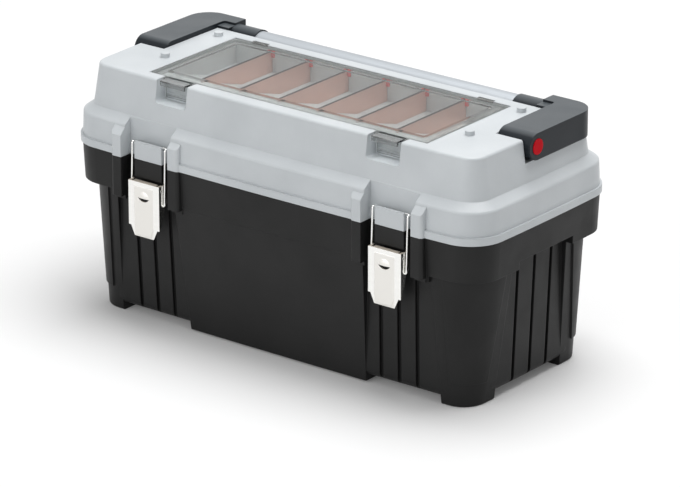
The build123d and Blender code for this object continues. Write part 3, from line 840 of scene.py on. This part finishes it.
@dataclass
class Organiser(Assembly):
    """Divided organiser under its see-through cover."""

    cover: ClearPlastic = ClearPlastic(
        "smoky_polystyrene",
        (0.59, 0.595, 0.582),
        (0.64, 0.645, 0.632),
        roughness=0.03,
        shade=(0.57, 0.58, 0.565),
        index=1.06,
        coat=0.5,
    )
    clip: ClearPlastic = ClearPlastic(
        "clear_clip_polystyrene",
        (0.60, 0.61, 0.61),
        (0.68, 0.69, 0.69),
        roughness=0.04,
        shade=(0.75, 0.76, 0.76),
        index=1.35,
        coat=0.3,
    )
    red: ClearPlastic = ClearPlastic(
        "translucent_red",
        (0.84, 0.52, 0.43),
        (0.90, 0.58, 0.49),
        roughness=0.22,
        clearness=0.45,
        shade=(0.86, 0.70, 0.66),
        top_edge=(0.10, 0.035, 0.03),
    )
    steel: DrawnMetal = pin_steel("cover_pin_steel")
    rim: MouldedPlastic = MouldedPlastic(
        "divider_rim_plastic",
        (0.020, 0.007, 0.006),
        (0.030, 0.011, 0.009),
        roughness=0.50,
        depth=0.03,
        edge=0.0003,
        specular=0.05,
    )
    tab: MouldedPlastic = MouldedPlastic(
        "divider_tab_plastic",
        (0.58, 0.020, 0.018),
        (0.68, 0.030, 0.025),
        roughness=0.40,
        depth=0.03,
        edge=0.0003,
        specular=0.10,
    )
    divider_count: int = 6
    rounding: float = 0.0004
    rim_half: float = 0.0010
    rim_above: float = 0.0004
    rim_below: float = 0.0006
    rear_slot: float = 0.0020
    tab_half: float = 0.0045
    tab_depth: float = 0.0020
    tab_drop: float = 0.0066

    def build(self) -> None:
        """Dress the cover, clips, dividers and pins, and trim the dividers."""
        dividers = [f"divider_{number + 1}" for number in range(self.divider_count)]
        self.dress(self.cover, "organiser_cover")
        self.dress(self.clip, *Hand.both("cover_clip"))
        self.dress(self.red, *dividers)
        self.dress(self.steel, *Hand.both("cover_pin"))
        rim_material = self.rim.make(self.effects)
        tab_material = self.tab.make(self.effects)
        for divider in dividers:
            self._trim(divider, rim_material, tab_material)

    def _trim(
        self, divider: str, rim_material: bpy.types.Material, tab_material: bpy.types.Material
    ) -> None:
        """Make a divider's dark top rim and its red rear tab.

        Args:
            divider: Name of the divider's node.
            rim_material: Material of the rim.
            tab_material: Material of the tab.
        """
        low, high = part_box(divider)
        middle = (low[0] + high[0]) / 2
        rear = high[1] - self.rear_slot
        top = high[2] + self.rim_above
        rim = self.rounded_bar(
            f"{divider}_rim",
            (middle - self.rim_half, low[1], high[2] - self.rim_below),
            (middle + self.rim_half, rear, top),
            self.rounding,
        )
        tab = self.rounded_bar(
            f"{divider}_tab",
            (middle - self.tab_half, rear - self.tab_depth, high[2] - self.tab_drop),
            (middle + self.tab_half, rear, top),
            self.rounding,
        )
        rim.data.materials.append(rim_material)
        tab.data.materials.append(tab_material)
        for piece in (rim, tab):
            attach(piece, "lid")


@dataclass
class SoftBox:
    """One large studio lamp."""

    name: str
    place: Point
    aim: Point
    width: float
    height: float
    power: float

    def build(self) -> None:
        """Make the lamp and turn it to what it lights."""
        lamp = bpy.data.lights.new(self.name, "AREA")
        lamp.shape = "RECTANGLE"
        lamp.size = self.width
        lamp.size_y = self.height
        lamp.energy = self.power
        holder = bpy.data.objects.new(self.name, lamp)
        holder.location = self.place
        away = Vector(self.aim) - Vector(self.place)
        holder.rotation_euler = away.to_track_quat("-Z", "Y").to_euler()
        bpy.context.scene.collection.objects.link(holder)
        log.info("lamp %s", self.name)


@dataclass
class Studio:
    """Pale floor, soft light and white surroundings."""

    floor_half: float = 9.0
    floor_colour: Colour = grey(0.85)
    floor_lift: float = 0.07
    far_lift: float = 0.73
    far_start: float = 0.6
    far_end: float = 4.0
    ambient: float = 0.34
    white: float = 1.0
    lamps: tuple[SoftBox, ...] = (
        SoftBox("overhead", (0.15, 0.40, 2.4), (0.0, 0.0, 0.1), width=2.0, height=1.6, power=55.0),
        SoftBox("front_fill", (-0.4, -2.7, 1.00), (0.0, 0.0, 0.15), width=2.8, height=1.8, power=25.0),
        SoftBox("right_fill", (2.5, -0.4, 1.1), (0.1, 0.0, 0.14), width=1.0, height=1.2, power=0.2),
    )

    def build(self) -> None:
        """Make the floor, the surroundings and the lamps."""
        self._floor()
        self._surroundings()
        for lamp in self.lamps:
            lamp.build()

    def _floor(self) -> None:
        """Make a pale floor that keeps the object's shadow."""
        mesh = bpy.data.meshes.new("floor")
        sheet = bmesh.new()
        bmesh.ops.create_grid(sheet, x_segments=1, y_segments=1, size=self.floor_half)
        sheet.to_mesh(mesh)
        sheet.free()
        floor = bpy.data.objects.new("floor", mesh)
        bpy.context.scene.collection.objects.link(floor)
        mesh.materials.append(self._floor_material())

    def _floor_material(self) -> bpy.types.Material:
        """Paint the floor, with a glow where it is seen.

        Returns:
            The material.
        """
        material = bpy.data.materials.new("pale_floor")
        material.use_nodes = True
        material.node_tree.nodes.clear()
        pen = NodePen(material.node_tree)
        paint = pen.add("BsdfDiffuse")
        paint.inputs["Color"].default_value = opaque(self.floor_colour)
        glow = pen.add("Emission")
        pen.join(pen.maths("MULTIPLY", self._seen(pen), self._lift(pen)), glow.inputs["Strength"])
        both = pen.add("AddShader")
        output = pen.add("OutputMaterial")
        pen.join(paint.outputs["BSDF"], both.inputs[0])
        pen.join(glow.outputs["Emission"], both.inputs[1])
        pen.join(both.outputs["Shader"], output.inputs["Surface"])
        return material

    def _lift(self, pen: NodePen) -> Socket:
        """Bring the floor to white far from the object, where the lamps don't reach.

        Args:
            pen: Pen of the floor material's tree.

        Returns:
            The strength of the floor's glow.
        """
        away = pen.add("VectorMath", operation="LENGTH")
        pen.join(pen.place(), away.inputs[0])
        return pen.remap(
            away.outputs["Value"], self.floor_lift, self.far_lift, self.far_start, self.far_end
        )

    def _surroundings(self) -> None:
        """Make surroundings that are white where they are seen, and a plain soft level where they light."""
        world = bpy.data.worlds.new("studio")
        bpy.context.scene.world = world
        world.use_nodes = True
        pen = NodePen(world.node_tree)
        background = next(n for n in world.node_tree.nodes if n.type == "BACKGROUND")
        background.inputs["Color"].default_value = opaque(grey(self.white))
        strength = pen.remap(self._seen(pen), self.ambient, self.white)
        pen.join(strength, background.inputs["Strength"])

    @staticmethod
    def _seen(pen: NodePen) -> Socket:
        """Mask the rays that show the surroundings: from the camera, by reflection or through glass.

        Args:
            pen: Pen of the tree that the mask is for.

        Returns:
            The mask, 0 or 1.
        """
        path = pen.add("LightPath")
        seen = pen.maths("MAXIMUM", path.outputs["Is Camera Ray"], path.outputs["Is Glossy Ray"])
        return pen.maths("MAXIMUM", seen, path.outputs["Is Transmission Ray"])


@dataclass
class PhotoCamera:
    """Camera at the photograph's viewing angle, with angles in degrees."""

    image_width: float = 680.0
    focal_pixels: float = 4748.84
    azimuth: float = 37.84
    elevation: float = 20.90
    distance: float = 5.039
    target: Point = (0.00315, 0.0, 0.09678)
    sensor: float = 36.0
    far_clip: float = 100.0

    def build(self) -> None:
        """Make the camera and give it to the scene."""
        data = bpy.data.cameras.new("photo_camera")
        data.sensor_fit = "HORIZONTAL"
        data.sensor_width = self.sensor
        data.lens = self.sensor * self.focal_pixels / self.image_width
        data.clip_end = self.far_clip
        turn = math.radians(self.azimuth)
        rise = math.radians(self.elevation)
        level = math.cos(rise)
        back = Vector((math.sin(turn) * level, -math.cos(turn) * level, math.sin(rise)))
        camera = bpy.data.objects.new("photo_camera", data)
        camera.location = Vector(self.target) + back * self.distance
        camera.rotation_euler = (-back).to_track_quat("-Z", "Y").to_euler()
        bpy.context.scene.collection.objects.link(camera)
        bpy.context.scene.camera = camera


def main() -> None:
    """Load the frame and build every sub-assembly, the studio and the camera."""
    logging.basicConfig(level=logging.INFO)
    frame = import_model()
    bpy.context.scene.view_settings.view_transform = "Standard"
    effects = EffectGroups()
    for assembly in (Tub, Latches, Lid, Handle, Organiser):
        assembly(frame["nodes"], effects).build()
    Studio().build()
    PhotoCamera().build()


if __name__ == "__main__":
    main()
